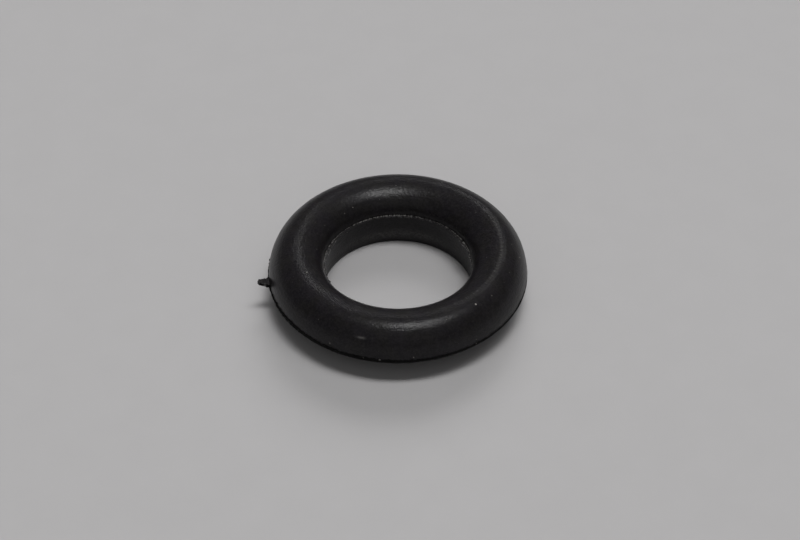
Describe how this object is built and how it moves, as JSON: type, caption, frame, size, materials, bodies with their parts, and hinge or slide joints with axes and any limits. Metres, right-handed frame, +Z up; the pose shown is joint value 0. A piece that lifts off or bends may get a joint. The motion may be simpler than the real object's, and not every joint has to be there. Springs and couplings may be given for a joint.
{
  "type": "rubber grommet",
  "caption": "Black moulded rubber grommet ring with a domed flange, a plain round through hole, a short neck below and a thin line of mould flash with a torn tag.",
  "frame": {"origin": "on the hole's axis, in the plane of the neck's foot that the grommet stands on", "axes": "+Z up along the hole's axis from the foot to the domed flange, -X roughly towards the torn tag of flash, -Y towards the viewer of the picture"},
  "size_m": [0.0168, 0.0162, 0.0037],
  "materials": {
    "rubber": "black moulded rubber with a soft satin sheen, fine grain and pale dust"
  },
  "bodies": {
    "root": {"grommet": "rubber"}
  },
  "joints": []
}
